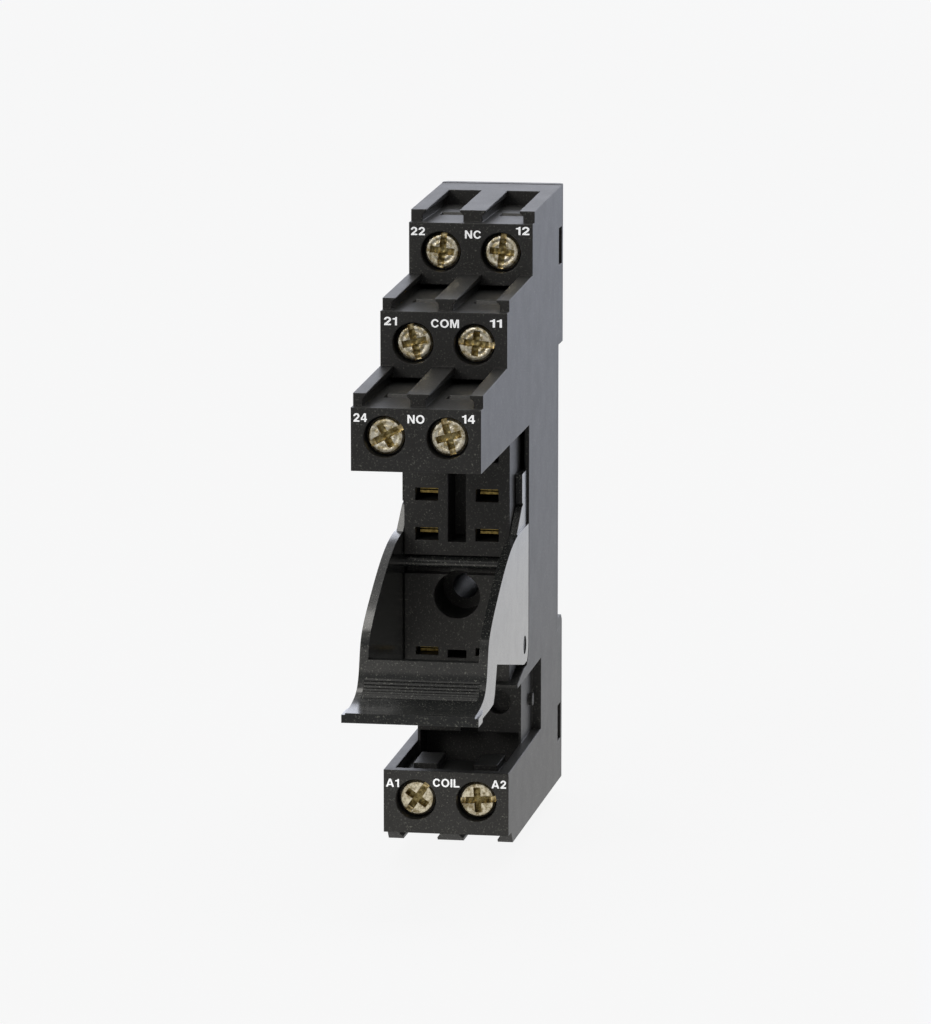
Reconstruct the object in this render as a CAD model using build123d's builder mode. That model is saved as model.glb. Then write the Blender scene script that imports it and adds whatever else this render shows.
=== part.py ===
from build123d import *
import os
from collections import namedtuple
from math import acos, cos, degrees, pi, radians

os.makedirs("parts", exist_ok=True)

# A one-relay socket for a 35 mm mounting rail: a stepped housing with eight screw
# terminals, a bay for a two-pole relay, a pocket for a plug-in module and a
# retaining clip that also ejects the relay.
#
# Frame: the origin is the middle of the seat that rests on the rail's face.
# +X is to the right, +Z is up, and the terminals face -Y.
# A depth is a distance in front of the housing's back plane.

# Outline of the housing
width = 15.7
top_z = 38.6
top_fall = 0.75
bottom_z = -39.9
bottom_rise = 0.7
rail_depth = 4.2
rail_gap = 36.1
rail_ledge_chamfer = 1.3

# Stepped terminal blocks: depth of each face, its upper and lower edge, and its screws
nc_depth = 26.8
nc_top = 36.4
nc_screw_z = 32.75
com_depth = 47.4
com_top = 27.95
com_screw_z = 24.05
no_depth = 67.5
no_top = 19.1
no_low = 11.45
no_screw_z = 15.65
coil_depth = 45.9
coil_top = -29.7
coil_low = -37.6
coil_screw_z = -33.35
shelf_rise = 1.9
shelf_fall = 0.6
wall_setback = 1.6
foot_setback = 2.2
foot_slant = 1.4
screw_x = 3.8

# Wire channels above (or, on the coil block, below) each pair of screws
channel_width = 4.3
wide_channel_width = 4.9
channel_flare = 0.45
channel_flare_height = 0.8
nc_channel_end = 7.8
under_slot_height = 0.65
under_slot_length = 5.0
entry_length = 2.0
entry_width = 3.2
entry_lead = 1.0

# Relay bay
bay_width = 13.3
bay_depth = 37.5
bay_low = -20.35
band_reach = 1.2
skirt_depth = 29.4
skirt_wall = 0.6
arm_slot_depth = 24.8
contact_pitch = 5.0
first_contact_z = -1.3
coil_contact_z = -16.15
socket_slot_width = 2.9
socket_slot_height = 1.6
coil_slot_height = 1.0
socket_slot_length = 8.0
centre_groove_width = 2.26
centre_groove_low = -2.25
centre_groove_length = 5.5
screw_hole_z = -9.05
screw_hole_radius = 1.6
screw_seat_radius = 2.9
screw_seat_length = 7.0
key_slot_width = 2.4
key_slot_z = -16.45
ejector_groove_high = -3.95
ejector_groove_low = -6.37
ejector_groove_length = 1.7

# Module pocket below the bay, with a well in the top of the coil block
pocket_depth = 27.9
pocket_side_depth = 18.9
well_half_width = 6.55
well_depth = 32.2
well_low = -34.4
recess_half_width = 6.3
recess_depth = 22.9
recess_high = -28.4
shelf_low = -31.2
coil_front_wall = 1.4
rib_width = 3.0
rib_top_z = -30.3
rib_wall = 0.35
pocket_groove_width = 2.2
pocket_groove_length = 2.8
jack_radius = 1.5
jack_z = -24.5
jack_length = 2.0
nub_radius = 0.8
nub_height = 0.55
nub_depth = 21.4
nub_z = -25.3

# Terminal screw and rising clamp
face_recess = 1.0
head_radius = 2.25
head_length = 1.5
head_chamfer = 0.25
head_bore_radius = 2.55
shank_radius = 1.25
shank_bore_radius = 1.4
bore_wall = 0.9
slot_width = 0.75
slot_length_across = 5.2
slot_cut = 0.7
cross_width = 0.85
cross_length = 3.1
cross_cut = 1.0
clamp_width = 4.2
clamp_height = 3.4
clamp_side = 0.55
clamp_thread_wall = 2.0
clamp_opening = 3.2
clamp_back_wall = 1.2
clamp_bend = 0.4
screw_tip_gap = 0.4
clamp_play = 0.15
clamp_travel = 1.8
thread_play = 0.05
tip_play = 0.1

# Contact strips
strip_thickness = 0.7
strip_width = 2.3
strip_corner = 0.2
strip_play = 0.15
leaf_thickness = 0.35
leaf_gap = 0.15
leaf_rise = 0.3
leaf_recess = 1.8
leaf_length = 6.5
bus_overlap = 1.7
com_riser_depth = 25.0
com_run_z = 20.0
no_riser_depth = 28.5
no_run_z = 12.6
coil_drop_depth = 33.0
coil_low_run_z = -35.2
coil_riser_depth = 21.5

# Retaining clip
pivot_depth = 32.7
pivot_z = -16.0
pivot_radius = 1.1
pivot_play = 0.08
pivot_recess = 0.15
clip_side_play = 0.1
clip_swing_play = 0.3
clip_corner_radius = 3.0
clip_top_z = -1.05
clip_bottom_z = -18.4
arm_thickness = 0.85
bar_radius = 0.7
bar_depth = 36.8
bar_z = -4.9
panel_thickness = 1.3
panel_top_z = -12.5
lip_depth = 72.0
lip_top_z = -17.1
lip_height = 1.2
lip_flare = 0.45
lip_step = 0.2
ridge_count = 7
ridge_size = 0.3
lip_length = 6.0
ridge_first = 0.765
ridge_step = 0.0125
clip_front_line = [
    (38.0, clip_top_z),
    (47.4, -2.9),
    (55.0, -6.2),
    (59.6, -8.7),
    (61.3, -10.2),
    (62.2, -12.2),
    (62.9, -14.2),
    (64.2, -15.8),
    (66.4, -16.6),
    (69.5, -17.0),
    (lip_depth, lip_top_z),
]
clip_under_line = [
    (lip_depth, lip_top_z - lip_height),
    (68.0, -18.45),
    (61.3, -18.5),
    (57.9, -18.4),
    (56.8, -17.4),
    (55.1, -14.05),
    (33.4, clip_bottom_z),
]
panel_back_line = [
    (61.0, panel_top_z),
    (61.7, -14.8),
    (63.3, -16.9),
    (66.0, -17.9),
    (66.2, -20.0),
]
arm_outline = [
    (pivot_depth - clip_corner_radius, -2.0),
    (pivot_depth - clip_corner_radius, 5.8),
    (33.4, 5.8),
    (33.4, 2.1),
    (32.8, 2.1),
    (32.8, 1.85),
    (33.6, 1.7),
    (37.8, clip_top_z),
    (37.8, -2.0),
]

# Rear cover, rail hook and spring latch
cover_thickness = 1.5
cover_edge = 0.5
hook_width = 11.0
hook_overlap = 1.65
hook_thickness = 2.5
flange_gap = 1.3
window_height = 4.8
window_length = 2.7
window_low = -34.5
window_high = 28.4
tongue_play = 0.2
tongue_thickness = 0.8
tongue_inset = 6.15
barb_height = 0.45
latch_width = 7.0
latch_thickness = 2.2
latch_play = 0.3
latch_nose = 1.8
latch_low = -39.0
latch_window_width = 2.9
latch_window_high = -26.0
latch_travel = 2.0
nose_step = 0.3
peg_width = 2.3
peg_height = 1.0
peg_top_z = -34.0
spring_radius = 0.8
spring_wire = 0.18
spring_turns = 4
pull_slot_width = 3.6
pull_slot_height = 1.2

# Values that follow from the ones above
half = width / 2
bay_half = bay_width / 2
rail_half = rail_gap / 2
screw_seat = face_recess + head_length
clamp_start = screw_seat + tip_play / 2 + bore_wall + clamp_play
clamp_length = clamp_thread_wall + clamp_opening + clamp_back_wall
bus_gap = 0.3
bus_front = clamp_start + clamp_thread_wall + clamp_travel + bus_gap
bus_mid = bus_front + strip_thickness / 2
clamp_pocket_end = clamp_start + clamp_length + clamp_travel + clamp_play
latch_back = cover_thickness + latch_play
latch_front = latch_back + latch_thickness
nose_front = rail_depth - flange_gap
notch_low = -rail_half - nose_step - latch_travel - latch_play
shank_length = bus_front - screw_seat - screw_tip_gap
strip_root_depth = bay_depth - leaf_length


def fore(depth):
    """Y of a plane that lies this far in front of the back plane."""
    return rail_depth - depth


def side(points):
    """Turns (depth, height) pairs into points of a sketch on Plane.YZ."""
    return [(fore(depth), height) for depth, height in points]


Block = namedtuple("Block", "name depth top low screw_z channel entry")
nc = Block("nc", nc_depth, nc_top, com_top, nc_screw_z, channel_width, 1)
com = Block("com", com_depth, com_top, no_top, com_screw_z, wide_channel_width, 1)
no = Block("no", no_depth, no_top, no_low, no_screw_z, wide_channel_width, 1)
coil = Block("coil", coil_depth, coil_top, coil_low, coil_screw_z, channel_width, -1)
blocks = (nc, com, no, coil)
sides = (("left", -1), ("right", 1))

# Turn of each screw's slot from the horizontal, as left by the last screwdriver
slot_angles = {
    "nc_left": 83,
    "nc_right": 84,
    "com_left": 104,
    "com_right": -6,
    "no_left": 29,
    "no_right": 106,
    "coil_left": 55,
    "coil_right": 4,
}


# Contact strips: the middle line of each bent blank, seen from the side
def bus_depth(block):
    return block.depth - bus_mid


def leaf_z(row_z):
    return row_z + leaf_rise


nc_leaf_z = leaf_z(first_contact_z)
com_leaf_z = leaf_z(first_contact_z + contact_pitch)
no_leaf_z = leaf_z(first_contact_z + 2 * contact_pitch)
coil_run_z = coil_screw_z + clamp_height / 2 + 0.2 + strip_thickness / 2

strip_lines = {
    "nc": [
        (bus_depth(nc), nc_screw_z + bus_overlap),
        (bus_depth(nc), nc_leaf_z),
        (strip_root_depth, nc_leaf_z),
    ],
    "com": [
        (bus_depth(com), com_screw_z + bus_overlap),
        (bus_depth(com), com_run_z),
        (com_riser_depth, com_run_z),
        (com_riser_depth, com_leaf_z),
        (strip_root_depth, com_leaf_z),
    ],
    "no": [
        (bus_depth(no), no_screw_z + bus_overlap),
        (bus_depth(no), no_run_z),
        (no_riser_depth, no_run_z),
        (no_riser_depth, no_leaf_z),
        (strip_root_depth, no_leaf_z),
    ],
    "coil": [
        (bus_depth(coil), coil_screw_z - bus_overlap),
        (bus_depth(coil), coil_run_z),
        (coil_drop_depth, coil_run_z),
        (coil_drop_depth, coil_low_run_z),
        (coil_riser_depth, coil_low_run_z),
        (coil_riser_depth, coil_contact_z),
        (strip_root_depth, coil_contact_z),
    ],
}
leaf_heights = {"nc": nc_leaf_z, "com": com_leaf_z, "no": no_leaf_z, "coil": coil_contact_z}


def strip_profile(name, x, grow):
    """Side view of a bent strip at this X, grown by a clearance where it is for its slot."""
    thickness = strip_thickness + 2 * grow
    bends = side(strip_lines[name])
    with BuildSketch(Plane.YZ.offset(x)) as profile:
        for (y, z), (next_y, next_z) in zip(bends, bends[1:]):
            with Locations(((y + next_y) / 2, (z + next_z) / 2)):
                Rectangle(abs(next_y - y) + thickness, abs(next_z - z) + thickness)
        if not grow:
            chamfer(profile.vertices(), strip_corner)
    return profile.sketch


# Rear cover, seen from the side: the back plates, the ledges and the rail seat
cover_outside = [
    (0, top_z),
    (0, rail_half),
    (rail_depth, rail_half),
    (rail_depth, -rail_half),
    (rail_ledge_chamfer, -rail_half),
    (0, -rail_half - rail_ledge_chamfer),
    (0, bottom_z),
]
cover_inside = [
    (cover_thickness, bottom_z),
    (cover_thickness, -rail_half - cover_thickness),
    (rail_depth + cover_thickness, -rail_half - cover_thickness),
    (rail_depth + cover_thickness, rail_half + cover_thickness),
    (cover_thickness, rail_half + cover_thickness),
    (cover_thickness, top_z),
]


def cover_profile():
    """Side view of the rear cover."""
    with BuildSketch(Plane.YZ) as profile:
        with BuildLine():
            Polyline(*side(cover_outside + cover_inside), close=True)
        make_face()
    return profile.sketch


def entry_edge(block):
    """Height of the face's edge on the side where the wires enter."""
    return block.top if block.entry > 0 else block.low


def draw_channel(block):
    """Front view of a wire channel, drawn from its floor outwards."""
    top_half = block.channel / 2
    floor_half = top_half + channel_flare
    knee = block.entry * channel_flare_height
    neck = block.entry * (channel_flare_height + channel_flare)
    mouth = block.entry * (shelf_rise + top_fall + 1)
    Polygon(
        (-floor_half, 0),
        (floor_half, 0),
        (floor_half, knee),
        (top_half, neck),
        (top_half, mouth),
        (-top_half, mouth),
        (-top_half, neck),
        (-floor_half, knee),
        align=None,
    )


def cut_box(low_x, high_x, low_depth, high_depth, low_z, high_z):
    """Takes a box away from the part in hand, given by its six faces."""
    middle = ((low_x + high_x) / 2, fore((low_depth + high_depth) / 2), (low_z + high_z) / 2)
    with Locations(middle):
        Box(high_x - low_x, high_depth - low_depth, high_z - low_z, mode=Mode.SUBTRACT)


def cut_socket(z, height):
    """Cuts the pair of pin sockets of one row in the floor of the bay."""
    with Locations((-screw_x, fore(bay_depth), z), (screw_x, fore(bay_depth), z)):
        Box(socket_slot_width, 2 * socket_slot_length, height, mode=Mode.SUBTRACT)


# Housing: one stepped moulding
corner_radius = clip_corner_radius + clip_swing_play
band_z = clip_bottom_z - clip_swing_play - 0.25
corner_turn = degrees(pi / 2 - acos((pivot_z - band_z) / corner_radius))
corner_end = pivot_depth - corner_radius * cos(radians(corner_turn))
band_depth = bay_depth + band_reach
shelf_com = com_top + shelf_rise + 0.1
shelf_no = no_top + shelf_rise + 0.2

with BuildPart() as housing:
    # full-width outline
    with BuildSketch(Plane.YZ):
        with BuildLine():
            upper = Polyline(
                *side(
                    [
                        (0, bottom_z),
                        (0, top_z),
                        (nc_depth - wall_setback, top_z - top_fall),
                        (nc_depth - wall_setback, nc_top),
                        (nc_depth, nc_top),
                        (nc_depth, shelf_com),
                        (com_depth - wall_setback, shelf_com - shelf_fall),
                        (com_depth - wall_setback, com_top),
                        (com_depth, com_top),
                        (com_depth, shelf_no),
                        (no_depth - wall_setback, shelf_no - shelf_fall),
                        (no_depth - wall_setback, no_top),
                        (no_depth, no_top),
                        (no_depth, no_low),
                        (skirt_depth, no_low),
                        (pivot_depth - corner_radius, pivot_z),
                    ]
                )
            )
            corner = CenterArc((fore(pivot_depth), pivot_z), corner_radius, 0, -corner_turn)
            Polyline(
                corner @ 1,
                *side(
                    [
                        (pivot_depth + 0.7, band_z),
                        (band_depth, bay_low + 0.4),
                        (band_depth, bay_low),
                        (pocket_side_depth, bay_low),
                        (pocket_side_depth, coil_top),
                        (coil_depth, coil_top),
                        (coil_depth, coil_low),
                        (coil_depth - foot_setback, coil_low),
                        (coil_depth - foot_setback - foot_slant, bottom_z + bottom_rise),
                        (0, bottom_z),
                    ]
                ),
            )
        make_face()
    extrude(amount=half, both=True)

    # narrower relay block, and the block behind the module pocket
    with BuildSketch(Plane.YZ):
        with BuildLine():
            Polyline(
                *side(
                    [
                        (pocket_side_depth - 1, no_low),
                        (bay_depth, no_low),
                        (bay_depth, bay_low),
                        (pocket_depth, bay_low),
                        (pocket_depth, well_low),
                        (pocket_side_depth - 1, well_low),
                    ]
                ),
                close=True,
            )
        make_face()
    extrude(amount=bay_half, both=True)

    # space taken by the rear cover and the rail
    with BuildSketch(Plane.YZ):
        with BuildLine():
            Polyline(*side([(-1, bottom_z - 1)] + cover_inside + [(-1, top_z + 1)]), close=True)
        make_face()
    extrude(amount=width, both=True, mode=Mode.SUBTRACT)

    # wire channels: a flat floor level with the face's edge, flared just above it
    for block, end_depth in ((nc, nc_channel_end), (com, nc_depth), (no, com_depth), (coil, nc_depth)):
        with BuildSketch(Plane.XZ.offset(-fore(block.depth))):
            with Locations(*[(sign * screw_x, entry_edge(block)) for _, sign in sides]):
                draw_channel(block)
        extrude(amount=-(block.depth - end_depth), mode=Mode.SUBTRACT)

    # low slot that carries each covered channel on under the block above it
    for block, above in ((com, nc), (no, com)):
        slot_mid = above.depth - under_slot_length / 2
        slot_z = block.top + under_slot_height / 2
        slot_wide = block.channel + 2 * channel_flare
        with Locations(*[(sign * screw_x, fore(slot_mid), slot_z) for _, sign in sides]):
            Box(slot_wide, under_slot_length, under_slot_height, mode=Mode.SUBTRACT)

    # screw bores, clamp pockets and wire entries of the eight terminals
    for block in blocks:
        spots = [(sign * screw_x, block.screw_z) for _, sign in sides]
        face = Plane.XZ.offset(-fore(block.depth))
        with BuildSketch(face):
            with Locations(*spots):
                Circle(head_bore_radius)
        extrude(amount=-(screw_seat + tip_play / 2), mode=Mode.SUBTRACT)
        with BuildSketch(face):
            with Locations(*spots):
                Circle(shank_bore_radius)
        extrude(amount=-(clamp_start + clamp_length), mode=Mode.SUBTRACT)
        pocket_length = clamp_pocket_end - clamp_start + clamp_play
        pocket_mid = block.depth - (clamp_start - clamp_play + clamp_pocket_end) / 2
        with Locations(*[(x, fore(pocket_mid), z) for x, z in spots]):
            Box(
                clamp_width + 2 * clamp_play,
                pocket_length,
                clamp_height + 2 * clamp_play,
                mode=Mode.SUBTRACT,
            )
        entry_rear = block.depth - bus_front - strip_thickness - entry_length
        edge_z = entry_edge(block)
        entry = [
            (entry_rear + entry_length, block.screw_z),
            (entry_rear + entry_length, edge_z + block.entry * 0.1),
            (entry_rear - entry_lead, edge_z + block.entry * 0.1),
            (entry_rear - entry_lead, edge_z),
            (entry_rear, edge_z - block.entry * entry_lead),
            (entry_rear, block.screw_z),
        ]
        for x, _ in spots:
            with BuildSketch(Plane.YZ.offset(x)):
                with BuildLine():
                    Polyline(*side(entry), close=True)
                make_face()
            extrude(amount=entry_width / 2, both=True, mode=Mode.SUBTRACT)

    # relay bay: pin sockets, centre groove, key slot and the groove of the ejector bar
    for row in range(3):
        cut_socket(first_contact_z + row * contact_pitch, socket_slot_height)
    cut_socket(coil_contact_z, coil_slot_height)
    with Locations((0, fore(bay_depth), (no_low + centre_groove_low) / 2)):
        Box(centre_groove_width, 2 * centre_groove_length, no_low - centre_groove_low, mode=Mode.SUBTRACT)
    with Locations((0, fore(bay_depth), key_slot_z)):
        Box(key_slot_width, 2 * centre_groove_length, coil_slot_height, mode=Mode.SUBTRACT)
    groove_mid = (ejector_groove_high + ejector_groove_low) / 2
    groove_height = ejector_groove_high - ejector_groove_low
    with Locations((0, fore(bay_depth), groove_mid)):
        Box(width, 2 * ejector_groove_length, groove_height, mode=Mode.SUBTRACT)

    # hole for a panel screw, sunk below the bay's floor
    with Locations(Location((0, fore(bay_depth), screw_hole_z), (90, 0, 0))):
        CounterBoreHole(screw_hole_radius, screw_seat_radius, screw_seat_length)

    # slots beside the relay block for the arms of the clip
    slot_wide = half - skirt_wall - bay_half
    slot_middles = [sign * (bay_half + slot_wide / 2) for _, sign in sides]
    with Locations(*[(x, fore((arm_slot_depth + skirt_depth) / 2), 0) for x in slot_middles]):
        Box(slot_wide, skirt_depth - arm_slot_depth, 2 * no_low, mode=Mode.SUBTRACT)

    # pivots of the clip, and the two nubs beside the module pocket
    for _, sign in sides:
        out = Plane.YZ.offset(sign * bay_half)
        with BuildSketch(out):
            with Locations((fore(pivot_depth), pivot_z)):
                Circle(pivot_radius)
        extrude(amount=sign * (half - bay_half - pivot_recess))
        with BuildSketch(out):
            with Locations((fore(nub_depth), nub_z)):
                Circle(nub_radius)
        extrude(amount=sign * nub_height)

    # module pocket: key groove and two contact jacks in its back wall
    groove_low = (bay_low + well_low) / 2
    with Locations((0, fore(pocket_depth), groove_low)):
        Box(pocket_groove_width, 2 * pocket_groove_length, bay_low - well_low, mode=Mode.SUBTRACT)
    with BuildSketch(Plane.XZ.offset(-fore(pocket_depth))):
        with Locations((-screw_x, jack_z), (screw_x, jack_z)):
            Circle(jack_radius)
    extrude(amount=-jack_length, mode=Mode.SUBTRACT)

    # well in the top of the coil block: a deep trough that runs on under the pocket's
    # back wall, and a shelf in front of it with a rib over each contact strip
    well_front = coil_depth - coil_front_wall
    shelf_front = coil_depth - clamp_start
    rib_end = bus_depth(coil) + strip_thickness / 2 + strip_play + rib_wall
    cut_box(-recess_half_width, recess_half_width, recess_depth, pocket_depth, well_low, recess_high)
    cut_box(-well_half_width, well_half_width, pocket_depth, well_depth, well_low, coil_top)
    cut_box(-well_half_width, well_half_width, well_depth, well_front, rib_top_z, coil_top)
    cut_box(-well_half_width, well_half_width, rib_end, shelf_front, shelf_low, rib_top_z)
    gaps = (
        (-well_half_width, -screw_x - rib_width / 2),
        (-screw_x + rib_width / 2, screw_x - rib_width / 2),
        (screw_x + rib_width / 2, well_half_width),
    )
    for low_x, high_x in gaps:
        cut_box(low_x, high_x, well_depth, rib_end, shelf_low, rib_top_z)

    # slots of the contact strips
    for name in strip_lines:
        for _, sign in sides:
            slot = strip_profile(name, sign * screw_x, strip_play)
            extrude(slot, amount=strip_width / 2 + strip_play, both=True, mode=Mode.SUBTRACT)

    # windows for the snaps of the rear cover
    window_out = half + 0.1
    for low_z in (window_low, window_high):
        for _, sign in sides:
            inner, outer = sorted((sign * (tongue_inset - tongue_play), sign * window_out))
            cut_box(inner, outer, 0, cover_thickness + window_length, low_z, low_z + window_height)

    # channel of the rail latch, with the peg that its spring stands on
    channel_half = latch_width / 2 + latch_play
    channel_high = -rail_half - cover_thickness + latch_play
    cut_box(-channel_half, channel_half, 0, latch_front + latch_play, bottom_z - 1, channel_high)
    with Locations((0, fore((cover_thickness + latch_front + latch_play) / 2), peg_top_z - peg_height / 2)):
        Box(peg_width, latch_front + latch_play - cover_thickness, peg_height)

# Rear cover with its fixed rail hook and four snaps
with BuildPart() as rear_cover:
    extrude(cover_profile(), amount=half, both=True)
    rear_edges = rear_cover.faces().filter_by(Axis.Y).sort_by(Axis.Y)[-2:].edges()
    chamfer(rear_edges.filter_by(Axis.Z), cover_edge)
    hook_mid = fore(rail_depth - flange_gap - hook_thickness / 2)
    with Locations((0, hook_mid, rail_half - hook_overlap / 2)):
        Box(hook_width, hook_thickness, hook_overlap)
    for low_z in (window_low, window_high):
        mid_z = low_z + window_height / 2
        tongue_high = window_height - 2 * tongue_play
        for _, sign in sides:
            tongue_x = sign * (tongue_inset + tongue_thickness / 2)
            tongue_length = window_length - tongue_play
            with Locations((tongue_x, fore(cover_thickness + tongue_length / 2), mid_z)):
                Box(tongue_thickness, tongue_length, tongue_high)
            outer_x = sign * (tongue_inset + tongue_thickness)
            barb_y = fore(cover_thickness + tongue_length)
            barb = [
                (outer_x, barb_y),
                (outer_x + sign * barb_height, barb_y + tongue_length / 2),
                (outer_x, barb_y + tongue_length / 2),
            ]
            with BuildSketch(Plane.XY.offset(mid_z)):
                with BuildLine():
                    Polyline(*barb, close=True)
                make_face()
            extrude(amount=tongue_high / 2, both=True)
    cut_box(-channel_half, channel_half, -1, latch_front + latch_play, notch_low, -rail_half)
    with Locations(Location((0, fore(rail_depth + cover_thickness), screw_hole_z), (90, 0, 0))):
        Hole(screw_hole_radius)

# Spring latch: its nose reaches behind the rail's lower flange
with BuildPart() as rail_latch:
    with BuildSketch(Plane.YZ):
        with BuildLine():
            Polyline(
                *side(
                    [
                        (latch_back, latch_low),
                        (latch_front, latch_low),
                        (latch_front, -rail_half - 2 * nose_step),
                        (nose_front, -rail_half - 2 * nose_step),
                        (nose_front, -rail_half + latch_nose),
                        (nose_front - latch_thickness / 2, -rail_half + latch_nose),
                        (nose_front - latch_thickness, -rail_half + latch_nose / 3),
                        (nose_front - latch_thickness, -rail_half - nose_step),
                        (latch_back, -rail_half - nose_step),
                    ]
                ),
                close=True,
            )
        make_face()
    extrude(amount=latch_width / 2, both=True)
    window_half = latch_window_width / 2
    window_floor = peg_top_z - peg_height - latch_play
    cut_box(-window_half, window_half, 0, rail_depth, window_floor, latch_window_high)
    pull_half = pull_slot_width / 2
    cut_box(-pull_half, pull_half, 0, rail_depth, latch_low + 1, latch_low + 1 + pull_slot_height)

# Spring that pushes the latch up, from the housing's peg to the latch's window
with BuildPart() as latch_spring:
    spring_length = latch_window_high - peg_top_z - 2 * spring_wire
    spring_centre = (0, fore((latch_back + latch_front) / 2), peg_top_z + spring_wire)
    with BuildLine() as spring_path:
        Helix(spring_length / spring_turns, spring_length, spring_radius, center=spring_centre)
    with BuildSketch(Plane(origin=spring_path.line @ 0, z_dir=spring_path.line % 0)):
        RegularPolygon(spring_wire, 4)
    sweep(path=spring_path.line, is_frenet=True)

# Retaining clip: two cheeks, a front panel with the finger lip, arms and the ejector bar
with BuildPart() as retaining_clip:
    cheek_in = bay_half + clip_side_play
    with BuildSketch(Plane.YZ):
        with BuildLine():
            back_top = (pivot_depth - clip_corner_radius, clip_top_z)
            Line(*side([back_top, clip_front_line[0]]))
            front_curve = Spline(*side(clip_front_line))
            Polyline(*side([clip_front_line[-1]] + clip_under_line))
            turn = degrees(pi / 2 - acos((pivot_z - clip_bottom_z) / clip_corner_radius))
            heel = CenterArc((fore(pivot_depth), pivot_z), clip_corner_radius, 0, -turn)
            Line(side([clip_under_line[-1]])[0], heel @ 1)
            Line(heel @ 0, side([back_top])[0])
        make_face()
    extrude(amount=half, both=True)

    # open space between the cheeks, behind the front panel
    with BuildSketch(Plane.YZ):
        with BuildLine():
            Polyline(
                *side(
                    [
                        (skirt_depth - 1, clip_top_z + 1),
                        (lip_depth + 1, clip_top_z + 1),
                        (lip_depth + 1, panel_top_z),
                    ]
                ),
                *side(panel_back_line),
                *side([(skirt_depth - 1, clip_bottom_z - 2)]),
                close=True,
            )
        make_face()
    extrude(amount=cheek_in, both=True, mode=Mode.SUBTRACT)

    # finger lip, a little wider than the cheeks, and the grip ridges above it
    lip_back = lip_depth - lip_length
    with BuildSketch(Plane.XY.offset(lip_top_z - lip_height)):
        with BuildLine():
            Polyline(
                (-half, fore(lip_back)),
                (half, fore(lip_back)),
                (half + lip_flare, fore(lip_back + lip_length / 2)),
                (half + lip_flare, fore(lip_depth)),
                (-half - lip_flare, fore(lip_depth)),
                (-half - lip_flare, fore(lip_back + lip_length / 2)),
                close=True,
            )
        make_face()
    extrude(amount=lip_height - lip_step)
    for step in range(ridge_count):
        ridge_at = front_curve @ (ridge_first + step * ridge_step)
        with Locations(Location((0, ridge_at.X, ridge_at.Y), (45, 0, 0))):
            Box(2 * cheek_in + 0.6, ridge_size, ridge_size)

    # arms beside the relay block, the ejector bar and the pivot holes
    for _, sign in sides:
        with BuildSketch(Plane.YZ.offset(sign * cheek_in)):
            with BuildLine():
                Polyline(*side(arm_outline), close=True)
            make_face()
        extrude(amount=sign * arm_thickness)
    with Locations(Location((0, fore(bar_depth), bar_z), (0, 90, 0))):
        Cylinder(bar_radius, 2 * cheek_in + 0.2)
    with Locations(Location((0, fore(pivot_depth), pivot_z), (0, 90, 0))):
        Cylinder(pivot_radius + pivot_play, 2 * width, mode=Mode.SUBTRACT)

housing.part.label = "housing"
rear_cover.part.label = "rear_cover"
rail_latch.part.label = "rail_latch"
latch_spring.part.label = "latch_spring"
retaining_clip.part.label = "retaining_clip"
for piece in (housing, rear_cover, rail_latch, latch_spring, retaining_clip):
    export_step(piece.part, f"parts/{piece.part.label}.step")

# Terminal screws, rising clamps and contact strips, one of each for every terminal
for block in blocks:
    for side_name, sign in sides:
        terminal = f"{block.name}_{side_name}"
        turn = slot_angles[terminal]
        x = sign * screw_x

        head_face = Plane((x, fore(block.depth - face_recess), block.screw_z), (1, 0, 0), (0, -1, 0))
        with BuildPart(head_face) as screw:
            Cylinder(head_radius, head_length, align=(Align.CENTER, Align.CENTER, Align.MAX))
            chamfer(screw.edges().group_by(Axis.Y)[0], head_chamfer)
            with Locations((0, 0, -head_length)):
                Cylinder(shank_radius, shank_length, align=(Align.CENTER, Align.CENTER, Align.MAX))
            with Locations(Location((0, 0, 0), (0, 0, turn))):
                Box(slot_length_across, slot_width, 2 * slot_cut, mode=Mode.SUBTRACT)
                Box(cross_length, cross_width, 2 * cross_cut, mode=Mode.SUBTRACT)
                Box(cross_width, cross_length, 2 * cross_cut, mode=Mode.SUBTRACT)
        screw.part.label = f"terminal_screw_{terminal}"
        export_step(screw.part, f"parts/{screw.part.label}.step")

        clamp_face = Plane((x, fore(block.depth - clamp_start), block.screw_z), (1, 0, 0), (0, -1, 0))
        with BuildPart(clamp_face) as clamp:
            Box(clamp_width, clamp_height, clamp_length, align=(Align.CENTER, Align.CENTER, Align.MAX))
            chamfer(clamp.edges().filter_by(Axis.Z), clamp_bend)
            with Locations((0, 0, -clamp_thread_wall - clamp_opening / 2)):
                Box(clamp_width - 2 * clamp_side, clamp_height, clamp_opening, mode=Mode.SUBTRACT)
            with Locations((0, 0, -clamp_thread_wall / 2)):
                Cylinder(shank_radius + thread_play, clamp_thread_wall + 0.2, mode=Mode.SUBTRACT)
        clamp.part.label = f"terminal_clamp_{terminal}"
        export_step(clamp.part, f"parts/{clamp.part.label}.step")

        with BuildPart() as strip:
            extrude(strip_profile(block.name, x, 0), amount=strip_width / 2, both=True)
            leaf_front = bay_depth - leaf_recess
            leaf_back = strip_root_depth - strip_thickness
            leaf_step = (leaf_gap + leaf_thickness) / 2
            for up in (-1, 1):
                leaf_middle = leaf_heights[block.name] + up * leaf_step
                with Locations((x, fore((leaf_front + leaf_back) / 2), leaf_middle)):
                    Box(strip_width, leaf_front - leaf_back, leaf_thickness)
        strip.part.label = f"contact_strip_{terminal}"
        export_step(strip.part, f"parts/{strip.part.label}.step")
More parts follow.
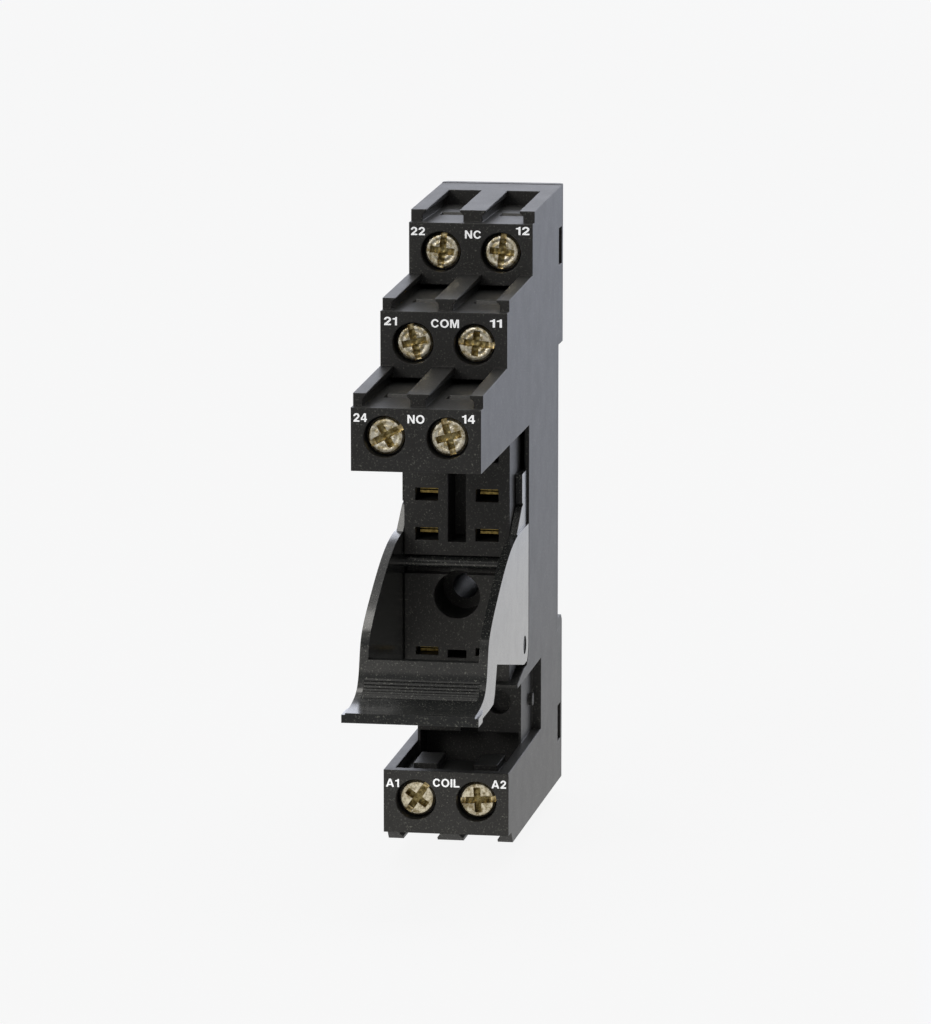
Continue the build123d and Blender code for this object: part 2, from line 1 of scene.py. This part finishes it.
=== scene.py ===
# %% [markdown]
# A relay socket, from solid model to picture.
# The socket clips onto a mounting rail inside a switch cabinet. Its shape comes as a
# finished solid model, one object for each moulded, stamped or turned piece. This lesson
# gives those pieces their real finishes, puts a merged copy in place of one small spring,
# prints the terminal marks on the faces, and sets up a small studio round the part.

# %% Load the model
from math import cos, radians, sin

import bpy
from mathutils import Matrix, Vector


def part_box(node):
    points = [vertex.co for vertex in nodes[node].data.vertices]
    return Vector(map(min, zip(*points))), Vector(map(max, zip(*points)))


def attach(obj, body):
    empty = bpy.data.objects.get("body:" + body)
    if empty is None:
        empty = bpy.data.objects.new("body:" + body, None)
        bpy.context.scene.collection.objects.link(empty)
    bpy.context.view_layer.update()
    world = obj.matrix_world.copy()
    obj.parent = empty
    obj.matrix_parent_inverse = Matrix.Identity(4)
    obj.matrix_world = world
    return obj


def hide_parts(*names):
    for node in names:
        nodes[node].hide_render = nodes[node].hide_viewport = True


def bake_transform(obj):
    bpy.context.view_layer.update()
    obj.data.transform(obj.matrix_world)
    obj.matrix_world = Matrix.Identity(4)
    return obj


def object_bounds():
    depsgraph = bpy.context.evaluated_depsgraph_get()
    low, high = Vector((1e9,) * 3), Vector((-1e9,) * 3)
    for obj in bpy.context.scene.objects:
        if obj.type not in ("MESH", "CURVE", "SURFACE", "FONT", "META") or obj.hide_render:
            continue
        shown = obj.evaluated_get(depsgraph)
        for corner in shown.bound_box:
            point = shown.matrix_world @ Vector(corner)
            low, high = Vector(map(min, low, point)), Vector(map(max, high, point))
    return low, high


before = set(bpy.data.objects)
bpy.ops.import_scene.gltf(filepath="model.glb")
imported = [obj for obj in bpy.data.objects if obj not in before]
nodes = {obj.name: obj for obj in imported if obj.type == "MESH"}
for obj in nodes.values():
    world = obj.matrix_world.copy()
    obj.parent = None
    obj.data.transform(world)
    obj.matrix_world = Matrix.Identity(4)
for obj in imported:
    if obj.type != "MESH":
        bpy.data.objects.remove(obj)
solid_low, solid_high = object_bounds()
mm = 0.001
print("size in mm:", [round((b - a) / mm, 1) for a, b in zip(solid_low, solid_high)])

# %% [markdown]
# Helpers for materials.
# Colours are easiest to read as the hex codes of a paint chart, but the renderer works
# in linear light, so one function turns one into the other. Another adds a shader node
# with its settings, links and colour stops in a single call, so that a material reads
# from top to bottom like a recipe.

# %% Colours


def colour(code):
    """A hex code such as 2B2B2A as a linear colour."""
    values = []
    for start in (0, 2, 4):
        value = int(code[start:start + 2], 16) / 255
        values.append(value / 12.92 if value <= 0.04045 else ((value + 0.055) / 1.055) ** 2.4)
    return (*values, 1.0)


print("charcoal in linear light:", [round(v, 4) for v in colour("252525")[:3]])

# %% Nodes
# A Mix node has sockets for every kind of data, so those for its colours go by number.
mix_share, mix_first, mix_second, mix_result = 0, 6, 7, 2


def new_material(name):
    """A node material with no nodes in it yet."""
    material = bpy.data.materials.new(name)
    material.use_nodes = True
    material.node_tree.nodes.clear()
    return material


def add_node(material, kind, settings=None, sockets=None, stops=()):
    """Adds one node. A socket's value is a number, a colour or another node's output.

    The stops are those of a colour ramp, as (position, hex code).
    """
    node = material.node_tree.nodes.new(kind)
    for name, value in (settings or {}).items():
        setattr(node, name, value)
    for name, value in (sockets or {}).items():
        if isinstance(value, bpy.types.NodeSocket):
            material.node_tree.links.new(value, node.inputs[name])
        else:
            node.inputs[name].default_value = value
    for index, (position, code) in enumerate(stops):
        if index == len(node.color_ramp.elements):
            node.color_ramp.elements.new(position)
        node.color_ramp.elements[index].position = position
        node.color_ramp.elements[index].color = colour(code)
    return node


print("colour sockets of a Mix node:", mix_first, mix_second, "and its output:", mix_result)

# %% [markdown]
# Moulded plastic.
# The housing, the rear cover, the clip and the latch are glass-filled polyamide. The
# steel mould is spark-eroded, which leaves a fine even grain, and the glass fibres show
# as tiny pale specks in the charcoal. A picture of plastic would have to be unwrapped
# onto every face. Noise that reads the piece's own coordinates fits all faces at once, in
# real millimetres, and moves with the piece. The real grain is about 0.05 mm and the
# fibres are thinner still, and both are drawn at over 0.2 mm so that they show. Moulded
# edges are never quite sharp, so the shading rounds them by 0.2 mm, and those of the
# thin clip by 0.08 mm. The clip is handled every day, which has polished it.

# %% Polyamide
cloud_size = 4.0 * mm
fibre_size = 0.24 * mm
grain_size = 0.22 * mm
# Polyamide has an IOR of about 1.53. A little less matches the shine of the real part.
polyamide_ior = 1.45


def polyamide(
    name, dark, light, speck, roughness, grain_height=0.005 * mm, edge_radius=0.2 * mm, polish=0.0
):
    """Glass-filled polyamide from a spark-eroded mould; polish is a thin gloss on top."""
    material = new_material(name)
    place = add_node(material, "ShaderNodeTexCoord").outputs["Object"]
    cloud = add_node(
        material,
        "ShaderNodeTexNoise",
        sockets={"Vector": place, "Scale": 1 / cloud_size, "Detail": 4.0, "Roughness": 0.6},
    )
    base = add_node(
        material,
        "ShaderNodeValToRGB",
        sockets={"Fac": cloud.outputs["Fac"]},
        stops=[(0.3, dark), (0.7, light)],
    )
    fibre = add_node(
        material,
        "ShaderNodeTexNoise",
        sockets={"Vector": place, "Scale": 1 / fibre_size, "Detail": 2.0, "Roughness": 0.8},
    )
    fibre_mask = add_node(
        material,
        "ShaderNodeMapRange",
        sockets={"Value": fibre.outputs["Fac"], "From Min": 0.58, "From Max": 0.74},
    )
    speckled = add_node(
        material,
        "ShaderNodeMix",
        {"data_type": "RGBA"},
        {
            mix_share: fibre_mask.outputs["Result"],
            mix_first: base.outputs["Color"],
            mix_second: colour(speck),
        },
    )
    grain = add_node(
        material,
        "ShaderNodeTexNoise",
        sockets={"Vector": place, "Scale": 1 / grain_size, "Detail": 3.0, "Roughness": 0.55},
    )
    edge = add_node(material, "ShaderNodeBevel", {"samples": 6}, {"Radius": edge_radius})
    bump = add_node(
        material,
        "ShaderNodeBump",
        sockets={
            "Height": grain.outputs["Fac"],
            "Distance": grain_height,
            "Strength": 1.0,
            "Normal": edge.outputs["Normal"],
        },
    )
    rough = add_node(
        material,
        "ShaderNodeMapRange",
        sockets={
            "Value": cloud.outputs["Fac"],
            "From Min": 0.25,
            "From Max": 0.75,
            "To Min": roughness - 0.03,
            "To Max": roughness + 0.03,
        },
    )
    shader = add_node(
        material,
        "ShaderNodeBsdfPrincipled",
        sockets={
            "Base Color": speckled.outputs[mix_result],
            "Roughness": rough.outputs["Result"],
            "IOR": polyamide_ior,
            "Specular Tint": colour("FFFAF0"),
            "Coat Weight": polish,
            "Coat Roughness": 0.15,
            "Normal": bump.outputs["Normal"],
        },
    )
    add_node(material, "ShaderNodeOutputMaterial", sockets={"Surface": shader.outputs["BSDF"]})
    return material


housing_plastic = polyamide("charcoal_polyamide", "1D1D1D", "252525", "66665E", 0.45)
cover_plastic = polyamide("charcoal_polyamide_cover", "1D1D1D", "252525", "565652", 0.46)
latch_plastic = polyamide("black_polyamide_latch", "121212", "191919", "2C2C2C", 0.4)
clip_plastic = polyamide(
    "charcoal_polyamide_clip",
    "1F2020",
    "272827",
    "7E7E74",
    0.2,
    grain_height=0.001 * mm,
    edge_radius=0.08 * mm,
    polish=0.22,
)
plastics = [housing_plastic, cover_plastic, latch_plastic, clip_plastic]
print("plastics:", [plastic.name for plastic in plastics])

# %% [markdown]
# Plated screws and clamps.
# The screws are turned from steel and get a thin coat of nickel, slightly yellow with
# age. The lathe leaves fine rings on their heads. Cut into the mesh they would take
# thousands of faces, so a wave texture tilts the light instead, with rings drawn much
# further apart than real so that they show. Grease and dust tint the metal yellower in
# the slots, and painted shade makes it darker towards their floor. The coil pair is the
# most worn. The clamps are zinc plated, which is greyer and duller. All of them have dull
# blotches and fine pits, and the pits are drawn at 0.16 mm, coarser than real, to show.

# %% Turned screw heads
slot_depth = 1.2 * mm
# The slot stops tint the metal yellower for grease, then darken it towards the floor as painted shade
# of the recess.
slot_grease_and_shade_stops = [(0.15, "FFFFFF"), (0.4, "FFF6DC"), (0.68, "FFF2CE"), (0.86, "8E8664")]
# A wave texture repeats every 0.314 of its size, so there is a ring every 0.69 mm.
ring_size = 2.2 * mm


def turned_head(material, place, head, metal_colour, relief):
    """Adds the grease tint and painted shade in the slots and the rings round the middle of a screw's
    face.
    """
    centred = add_node(material, "ShaderNodeVectorMath", {"operation": "SUBTRACT"}, {0: place, 1: head})
    axes = add_node(material, "ShaderNodeSeparateXYZ", sockets={"Vector": centred.outputs["Vector"]})
    depth = add_node(
        material,
        "ShaderNodeMapRange",
        sockets={"Value": axes.outputs["Y"], "From Min": 0.0, "From Max": slot_depth},
    )
    # Painted shade: the metal's colour darkens with depth in the slot, under a yellower grease tint.
    slot_grease_shade_ramp = add_node(
        material,
        "ShaderNodeValToRGB",
        sockets={"Fac": depth.outputs["Result"]},
        stops=slot_grease_and_shade_stops,
    )
    tinted = add_node(
        material,
        "ShaderNodeMix",
        {"data_type": "RGBA", "blend_type": "MULTIPLY"},
        {mix_share: 1.0, mix_first: metal_colour, mix_second: slot_grease_shade_ramp.outputs["Color"]},
    )
    rings = add_node(
        material,
        "ShaderNodeTexWave",
        {"wave_type": "RINGS", "rings_direction": "Y"},
        {
            "Vector": centred.outputs["Vector"],
            "Scale": 1 / ring_size,
            "Distortion": 0.6,
            "Detail": 2.0,
        },
    )
    ringed = add_node(
        material,
        "ShaderNodeMath",
        {"operation": "ADD"},
        {0: relief, 1: rings.outputs["Fac"]},
    )
    return tinted.outputs[mix_result], ringed.outputs["Value"]


print("slots are toned down to", round(slot_depth / mm, 2), "mm behind the face")

# %% Worn metal
blotch_size = 0.5 * mm
pit_size = 0.16 * mm
pit_relief = 0.004 * mm
ring_relief = 0.03 * mm
metal_edge_radius = 0.08 * mm


def worn_metal(name, bright, worn, roughness, head=None):
    """Metal with duller blotches; head is the middle of the face of a turned screw."""
    material = new_material(name)
    place = add_node(material, "ShaderNodeTexCoord").outputs["Object"]
    blotch = add_node(
        material,
        "ShaderNodeTexNoise",
        sockets={"Vector": place, "Scale": 1 / blotch_size, "Detail": 5.0, "Roughness": 0.65},
    )
    base = add_node(
        material,
        "ShaderNodeValToRGB",
        sockets={"Fac": blotch.outputs["Fac"]},
        stops=[(0.4, worn), (0.58, bright)],
    )
    pits = add_node(
        material,
        "ShaderNodeTexNoise",
        sockets={"Vector": place, "Scale": 1 / pit_size, "Detail": 3.0, "Roughness": 0.6},
    )
    metal_colour = base.outputs["Color"]
    relief = pits.outputs["Fac"]
    relief_height = pit_relief
    if head is not None:
        metal_colour, relief = turned_head(material, place, head, metal_colour, relief)
        relief_height = ring_relief
    edge = add_node(material, "ShaderNodeBevel", {"samples": 4}, {"Radius": metal_edge_radius})
    bump = add_node(
        material,
        "ShaderNodeBump",
        sockets={
            "Height": relief,
            "Distance": relief_height,
            "Strength": 1.0,
            "Normal": edge.outputs["Normal"],
        },
    )
    rough = add_node(
        material,
        "ShaderNodeMapRange",
        sockets={
            "Value": blotch.outputs["Fac"],
            "From Min": 0.3,
            "From Max": 0.7,
            "To Min": roughness + 0.1,
            "To Max": roughness - 0.05,
        },
    )
    shader = add_node(
        material,
        "ShaderNodeBsdfPrincipled",
        sockets={
            "Base Color": metal_colour,
            "Metallic": 1.0,
            "Roughness": rough.outputs["Result"],
            "Normal": bump.outputs["Normal"],
        },
    )
    add_node(material, "ShaderNodeOutputMaterial", sockets={"Surface": shader.outputs["BSDF"]})
    return material


clamp_finish = worn_metal("zinc_plated_clamp", "B9B7AC", "8E8B80", 0.42)
print("clamps:", clamp_finish.name)

# %% Nickel on each screw
screw_finish = {}
for name in nodes:
    if name.startswith("terminal_screw_"):
        low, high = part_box(name)
        head = Vector(((low[0] + high[0]) / 2, low[1], (low[2] + high[2]) / 2))
        bright, worn = ("DCD2B8", "8E8060") if "_coil_" in name else ("FFF6DE", "B09E72")
        nickel = name.replace("terminal", "nickel_plated")
        screw_finish[name] = worn_metal(nickel, bright, worn, 0.33, head)
print("screws:", [metal.name for metal in screw_finish.values()])

# %% [markdown]
# Brass contacts and spring wire.
# The contact strips are punched from rolled brass. The rolled face is smooth and yellow,
# with a brown bloom where fingers and air have dulled it. The latch spring is drawn steel
# wire. Both are the same worn metal as the clamps, with other colours.

# %% Brass and wire
contact_finish = worn_metal("rolled_brass", "C2A862", "8A7440", 0.3)
spring_finish = worn_metal("drawn_spring_wire", "B5B5B2", "8C8C8A", 0.3)
print("contacts and spring:", contact_finish.name, spring_finish.name)

# %% [markdown]
# Finishes onto pieces.
# The solid pieces keep their meshes. Each one only gets its material slots filled.

# %% Assign the finishes


def give_finish(name, material):
    """Gives every material slot of a solid piece this finish."""
    piece = nodes[name]
    if not piece.material_slots:
        piece.data.materials.append(material)
    for slot in piece.material_slots:
        slot.material = material


for name in nodes:
    if name.startswith("terminal_screw_"):
        give_finish(name, screw_finish[name])
    elif name.startswith("terminal_clamp_"):
        give_finish(name, clamp_finish)
    elif name.startswith("contact_strip_"):
        give_finish(name, contact_finish)
give_finish("housing", housing_plastic)
give_finish("rear_cover", cover_plastic)
give_finish("retaining_clip", clip_plastic)
give_finish("rail_latch", latch_plastic)
give_finish("latch_spring", spring_finish)
print("finished", len(nodes), "pieces")

# %% [markdown]
# A copy of the spring.
# The little spring under the rail latch has one end on a peg of the cover and the other
# under the latch. A rigid piece could only ride on one of the two, and would run into the
# other when the latch is pulled. Here a copy of the solid spring, no less rigid, takes its
# place, and the solid one is hidden. The solid's mesh is loose triangles, so the copy is
# merged first.

# %% Latch spring
merge_reach = 0.001 * mm
bpy.ops.object.select_all(action="DESELECT")
live_spring = nodes["latch_spring"].copy()
live_spring.data = nodes["latch_spring"].data.copy()
live_spring.name = "latch_spring_live"
live_spring.parent = None
bpy.context.collection.objects.link(live_spring)
live_spring.matrix_world.identity()
bpy.context.view_layer.objects.active = live_spring
live_spring.select_set(True)
bpy.ops.object.mode_set(mode="EDIT")
bpy.ops.mesh.select_all(action="SELECT")
bpy.ops.mesh.remove_doubles(threshold=merge_reach)
bpy.ops.object.mode_set(mode="OBJECT")
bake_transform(live_spring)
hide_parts("latch_spring")

# %% [markdown]
# Printed marks.
# Each terminal carries its standard number, and each pair the word for its function.
# They are pad printed: a soft stamp leaves a film of white ink a few hundredths of a
# millimetre thick. Blender's built-in letters are thinner than these, which are plain,
# bold and upright, so each one is drawn as a flat outline instead, one unit tall, which a
# filled curve turns into a face. A hole in a letter is a second outline inside the first.
# The ink glows faintly, so that it reads as white although the faces stand in the dark.

# %% White ink
patch_size = 0.25 * mm
ink = new_material("white_pad_ink")
ink_place = add_node(ink, "ShaderNodeTexCoord").outputs["Object"]
ink_patch = add_node(
    ink,
    "ShaderNodeTexNoise",
    sockets={"Vector": ink_place, "Scale": 1 / patch_size, "Detail": 3.0, "Roughness": 0.6},
)
ink_tone = add_node(
    ink,
    "ShaderNodeValToRGB",
    sockets={"Fac": ink_patch.outputs["Fac"]},
    stops=[(0.3, "DADAD8"), (0.6, "F6F6F4")],
)
ink_shader = add_node(
    ink,
    "ShaderNodeBsdfPrincipled",
    sockets={
        "Base Color": ink_tone.outputs["Color"],
        "Roughness": 0.5,
        "Emission Color": colour("FFFFFF"),
        "Emission Strength": 0.35,
    },
)
add_node(ink, "ShaderNodeOutputMaterial", sockets={"Surface": ink_shader.outputs["BSDF"]})
print("ink:", ink.name)

# %% Outlines of the letters


def bow(x, z, half_wide, half_tall, start, end, steps=14):
    """Points of an oval's arc round (x, z), from the start to the end angle in degrees."""
    angles = [radians(start + (end - start) * i / steps) for i in range(steps + 1)]
    return [(x + half_wide * cos(a), z + half_tall * sin(a)) for a in angles]


two_top = bow(0.34, 0.69, 0.34, 0.32, 188, -38)
two_inside = bow(0.34, 0.69, 0.14, 0.14, -38, 188)
letters = {
    "1": [
        [(0.235, 0), (0.43, 0), (0.43, 1), (0.29, 1), (0.22, 0.88), (0, 0.83), (0, 0.69),
         (0.235, 0.69)],
    ],
    "2": [[*two_top, (0.32, 0.18), (0.68, 0.18), (0.68, 0), (0, 0), (0.02, 0.16), *two_inside]],
    "4": [
        [(0.4, 0), (0.59, 0), (0.59, 0.22), (0.7, 0.22), (0.7, 0.39), (0.59, 0.39), (0.59, 1),
         (0.37, 1), (0, 0.42), (0, 0.22), (0.4, 0.22)],
        [(0.4, 0.39), (0.4, 0.76), (0.155, 0.39)],
    ],
    "A": [
        [(0, 0), (0.36, 1), (0.59, 1), (0.95, 0), (0.73, 0), (0.665, 0.2), (0.285, 0.2), (0.22, 0)],
        [(0.34, 0.365), (0.61, 0.365), (0.475, 0.77)],
    ],
    "C": [[*bow(0.45, 0.5, 0.45, 0.515, 27, 333, 28), *bow(0.45, 0.5, 0.25, 0.335, 333, 27, 28)]],
    "I": [[(0, 0), (0, 1), (0.21, 1), (0.21, 0)]],
    "L": [[(0, 0), (0, 1), (0.205, 1), (0.205, 0.18), (0.7, 0.18), (0.7, 0)]],
    "M": [
        [(0, 0), (0, 1), (0.29, 1), (0.485, 0.34), (0.68, 1), (0.97, 1), (0.97, 0), (0.785, 0),
         (0.785, 0.76), (0.575, 0), (0.395, 0), (0.185, 0.76), (0.185, 0)],
    ],
    "N": [
        [(0, 0), (0, 1), (0.215, 1), (0.62, 0.34), (0.62, 1), (0.815, 1), (0.815, 0), (0.605, 0),
         (0.195, 0.67), (0.195, 0)],
    ],
    "O": [bow(0.48, 0.5, 0.48, 0.515, 0, 351, 39), bow(0.48, 0.5, 0.275, 0.335, 0, 351, 39)],
}
print("letters drawn:", "".join(letters))

# %% Words as flat curves
letter_gap = 0.15


def letter_width(letter):
    """How wide a letter is, in units of its height."""
    return max(point[0] for point in letters[letter][0])


def flat_word(name, word):
    """A word as a filled curve, one unit wide and tall, round its middle."""
    drawing = bpy.data.curves.new(name, "CURVE")
    drawing.dimensions = "2D"
    drawing.fill_mode = "BOTH"
    word_length = sum(letter_width(letter) for letter in word) + letter_gap * (len(word) - 1)
    reach = 0
    for letter in word:
        for outline in letters[letter]:
            loop = drawing.splines.new("POLY")
            loop.points.add(len(outline) - 1)
            for point, (across, up) in zip(loop.points, outline):
                point.co = ((reach + across) / word_length - 0.5, up - 0.5, 0, 1)
            loop.use_cyclic_u = True
        reach += letter_width(letter) + letter_gap
    return drawing


print("widest letter:", max(letters, key=letter_width))

# %% Marks on the four faces
# Each row is a word, its middle across and up the face, and its width, in mm.
marks = {
    "nc": [("22", -6.71, 35.3, 1.78), ("NC", 0.28, 35.0, 2.03), ("12", 6.58, 35.57, 1.71)],
    "com": [("21", -6.58, 26.74, 1.61), ("COM", 0.17, 26.58, 3.46), ("11", 6.46, 26.73, 1.47)],
    "no": [("24", -6.7, 17.91, 1.63), ("NO", 0.03, 17.87, 2.05), ("14", 6.35, 18.03, 1.56)],
    "coil": [("A1", -6.73, -31.33, 1.64), ("COIL", 0.03, -31.12, 3.33), ("A2", 6.63, -31.07, 1.82)],
}
mark_height = 1.02
ink_thickness = 0.03 * mm
ink_lift = 0.002 * mm
# The screw heads lie this far behind the face of their block.
face_recess = 1.0 * mm


def print_mark(block, word, x, z, wide):
    """A word in white ink on the face of a terminal block; sizes in mm."""
    bpy.ops.object.select_all(action="DESELECT")
    face_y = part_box(f"terminal_screw_{block}_left")[0][1] - face_recess
    drawing = flat_word(f"mark_{block}_{word}", word)
    mark = bpy.data.objects.new(drawing.name, drawing)
    bpy.context.collection.objects.link(mark)
    bpy.context.view_layer.objects.active = mark
    mark.select_set(True)
    bpy.ops.object.convert(target="MESH")
    mark = bpy.context.object
    for vertex in mark.data.vertices:
        across, up = vertex.co.x * wide, vertex.co.y * mark_height
        vertex.co = Vector(((x + across) * mm, face_y - ink_lift, (z + up) * mm))
    bpy.ops.object.mode_set(mode="EDIT")
    bpy.ops.mesh.select_all(action="SELECT")
    bpy.ops.mesh.remove_doubles(threshold=merge_reach)
    bpy.ops.mesh.extrude_region_move(TRANSFORM_OT_translate={"value": (0, -ink_thickness, 0)})
    bpy.ops.mesh.select_all(action="SELECT")
    bpy.ops.mesh.normals_make_consistent(inside=False)
    bpy.ops.object.mode_set(mode="OBJECT")
    mark.data.materials.clear()
    mark.data.materials.append(ink)
    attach(mark, "base")
    return mark


printed = [print_mark(block, *row) for block, rows in marks.items() for row in rows]
print("printed:", [mark.name for mark in printed])

# %% [markdown]
# Studio.
# The part stands over a pale table that glows softly and ends about 60 mm in front of
# it. Dark plastic shows mostly what it mirrors, so each light is placed for the faces
# that mirror it. The side faces mirror the table behind the part and look pale. The front
# faces mirror the dim room before the table's edge and stay dark. A low wide light behind
# the part shines off the level faces, which the camera sees at a low angle. A small light
# overhead and a wide weak ceiling shine off the clip's sloping strip and lip, and three
# weak lights in front draw the screws and the edges. The table lies 2.1 mm below the
# part, so that the rail latch can slide down its 2 mm.

# %% Table
floor_front = -0.13
floor_size = 10.0
latch_travel = 2.0 * mm
floor_gap = latch_travel + 0.1 * mm
bpy.ops.object.select_all(action="DESELECT")
bpy.ops.mesh.primitive_plane_add(
    size=floor_size,
    location=(0, floor_front + floor_size / 2, solid_low[2] - floor_gap),
)
floor = bpy.context.object
floor.name = "studio_floor"
bpy.ops.object.transform_apply(location=True, rotation=True, scale=True)
print("table top at", round((solid_low[2] - floor_gap) / mm, 2), "mm")

# %% Glow of the table
# It glows a little bluer to the right of the picture, where the side faces look.
blue_across = Vector((1.0, 0.079, 0.0))
blue_start, blue_end = 55 * mm, 75 * mm
clouds_per_metre = 3.0
floor_paint = new_material("pale_light_table")
floor_place = add_node(floor_paint, "ShaderNodeTexCoord").outputs["Object"]
floor_cloud = add_node(
    floor_paint,
    "ShaderNodeTexNoise",
    sockets={"Vector": floor_place, "Scale": clouds_per_metre},
)
floor_tone = add_node(
    floor_paint,
    "ShaderNodeValToRGB",
    sockets={"Fac": floor_cloud.outputs["Fac"]},
    stops=[(0.3, "3A3A3A"), (0.7, "3C3C3C")],
)
floor_across = add_node(
    floor_paint,
    "ShaderNodeVectorMath",
    {"operation": "DOT_PRODUCT"},
    {0: floor_place, 1: blue_across},
)
floor_side = add_node(
    floor_paint,
    "ShaderNodeMapRange",
    sockets={
        "Value": floor_across.outputs["Value"],
        "From Min": blue_start,
        "From Max": blue_end,
    },
)
floor_glow = add_node(
    floor_paint,
    "ShaderNodeValToRGB",
    sockets={"Fac": floor_side.outputs["Result"]},
    stops=[(0.0, "EBEBEB"), (1.0, "EAF0FF")],
)
floor_shader = add_node(
    floor_paint,
    "ShaderNodeBsdfPrincipled",
    sockets={
        "Base Color": floor_tone.outputs["Color"],
        "Roughness": 1.0,
        "Specular IOR Level": 0.0,
        "Emission Color": floor_glow.outputs["Color"],
        "Emission Strength": 1.075,
    },
)
add_node(floor_paint, "ShaderNodeOutputMaterial", sockets={"Surface": floor_shader.outputs["BSDF"]})
floor.data.materials.append(floor_paint)
print("table:", floor_paint.name)

# %% Lights


def soft_light(name, place, aim, wide, tall, power, tint="FFFFFF"):
    """A rectangular area light that shines from place towards aim."""
    lamp = bpy.data.lights.new(name, "AREA")
    lamp.shape = "RECTANGLE"
    lamp.size = wide
    lamp.size_y = tall
    lamp.energy = power
    lamp.color = colour(tint)[:3]
    holder = bpy.data.objects.new(name, lamp)
    bpy.context.collection.objects.link(holder)
    holder.location = place
    holder.rotation_euler = (Vector(aim) - Vector(place)).to_track_quat("-Z", "Y").to_euler()
    return holder


middle = (0, -0.03, 0)
# Each row has the light's place and aim, its width and height in metres and its watts.
lights = [
    soft_light("behind", (0.1, 1.9, 0.4), middle, 3.2, 1.2, 24.5, "EEF2FF"),
    soft_light("front_wide", (-0.3, -1.5, 0.35), middle, 1.2, 1.2, 0.7),
    soft_light("front_left", (-0.5, -1.0, 0.45), middle, 0.4, 0.4, 3.6),
    soft_light("front_high", (-0.1, -0.55, 1.05), middle, 0.6, 0.6, 0.35),
    soft_light("overhead", (0.0, 0.18, 1.1), middle, 0.8, 0.45, 4.2),
    soft_light("ceiling", (0.0, 0.3, 1.3), middle, 2.2, 2.2, 6.0),
]
print("lights:", [light.name for light in lights])

# %% Air of the room
world = bpy.data.worlds.new("studio_air")
bpy.context.scene.world = world
world.use_nodes = True
air = world.node_tree.nodes["Background"]
air.inputs["Color"].default_value = colour("F7F9FF")
air.inputs["Strength"].default_value = 0.25
bpy.context.scene.view_settings.view_transform = "Standard"
print("room:", world.name, "with strength", round(air.inputs["Strength"].default_value, 2))

# %% [markdown]
# Camera.
# The photograph was taken from a little to the right and above, from far away, so lines
# that run to the back hardly meet. The place and the lens come from points of the
# photograph that lie on known faces of the socket. Such a fit gives the focal length in
# pixels, and a camera wants it in millimetres on a sensor that spans the longer side of
# the picture, here its height.

# %% Camera
aim = Vector((-0.144, -25.8, 0.254)) * mm
turn, rise = radians(9.289), radians(9.866)
distance = 703.5 * mm
focal_pixels, picture_height = 5591.9, 1024
view_line = Vector((-sin(turn) * cos(rise), cos(turn) * cos(rise), -sin(rise)))
camera_data = bpy.data.cameras.new("photo_camera")
camera = bpy.data.objects.new("photo_camera", camera_data)
bpy.context.collection.objects.link(camera)
camera.location = aim - view_line * distance
camera.rotation_euler = view_line.to_track_quat("-Z", "Y").to_euler()
camera_data.sensor_width = 36.0
camera_data.lens = camera_data.sensor_width * focal_pixels / picture_height
camera_data.clip_start = 0.05
camera_data.clip_end = 50.0
bpy.context.scene.camera = camera
print("camera at", [round(v / mm, 1) for v in camera.location], "lens", round(camera_data.lens, 1))
